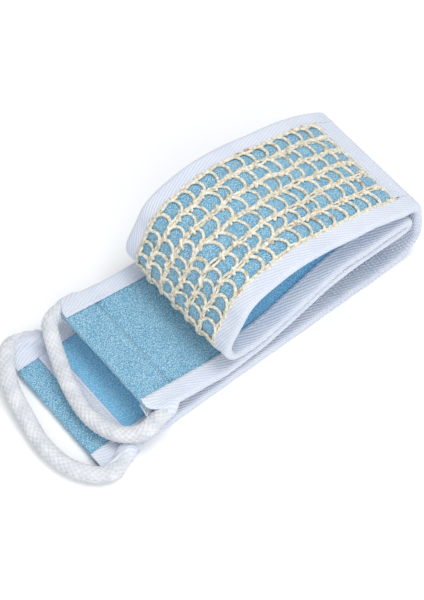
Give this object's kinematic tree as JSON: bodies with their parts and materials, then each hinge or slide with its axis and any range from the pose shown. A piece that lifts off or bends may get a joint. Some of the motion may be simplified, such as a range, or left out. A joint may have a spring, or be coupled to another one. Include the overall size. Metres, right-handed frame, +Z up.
{
  "type": "bath strap scrubber",
  "caption": "Folded padded bath scrubbing strap: blue terry cloth with a sisal net over its middle, white twill edge binding and a braided rope handle at each end.",
  "frame": {"origin": "on the resting surface, under the middle of the folded strap, rope handles not counted", "axes": "+X along the strap from the handles to the fold, +Y across it, +Z up"},
  "size_m": [0.2655, 0.1012, 0.0805],
  "materials": {
    "terry_front": "looped terry cloth",
    "terry_back": "looped terry cloth",
    "foam": "soft open-cell foam",
    "sisal": "coarse twisted fibre",
    "twill": "diagonal twill tape",
    "thread": "sewing thread",
    "rope": "soft braided cotton"
  },
  "bodies": {
    "strap": {"front_cover": "terry_front", "back_cover": "terry_back", "foam_interlining": "foam", "sisal_net": "sisal", "near_edge_binding": "twill", "far_edge_binding": "twill", "outer_net_tape": "twill", "inner_net_tape": "twill", "lower_back_tape": "twill", "upper_back_tape": "twill", "net_tape_seams": "thread", "back_tape_seams": "thread", "front_tab_seams": "thread", "near_binding_seams": "thread", "far_binding_seams": "thread", "lower_near_rope_tail": "rope", "lower_near_bar_tack": "thread", "lower_far_rope_tail": "rope", "lower_far_bar_tack": "thread", "upper_near_rope_tail": "rope", "upper_near_bar_tack": "thread", "upper_far_rope_tail": "rope", "upper_far_bar_tack": "thread"},
    "upper_handle": {"upper_rope_handle": "rope"},
    "lower_handle": {"lower_rope_handle": "rope"}
  },
  "joints": [
    {"name": "upper_handle_swing", "type": "hinge", "parent": "strap", "child": "upper_handle", "pos_m": [-0.09067, 0, 0.02337], "axis": [0, 1, 0], "range_deg": [0, 115]},
    {"name": "lower_handle_swing", "type": "hinge", "parent": "strap", "child": "lower_handle", "pos_m": [-0.1172, 0, 0.0056], "axis": [0, 1, 0], "range_deg": [0, 70]}
  ]
}
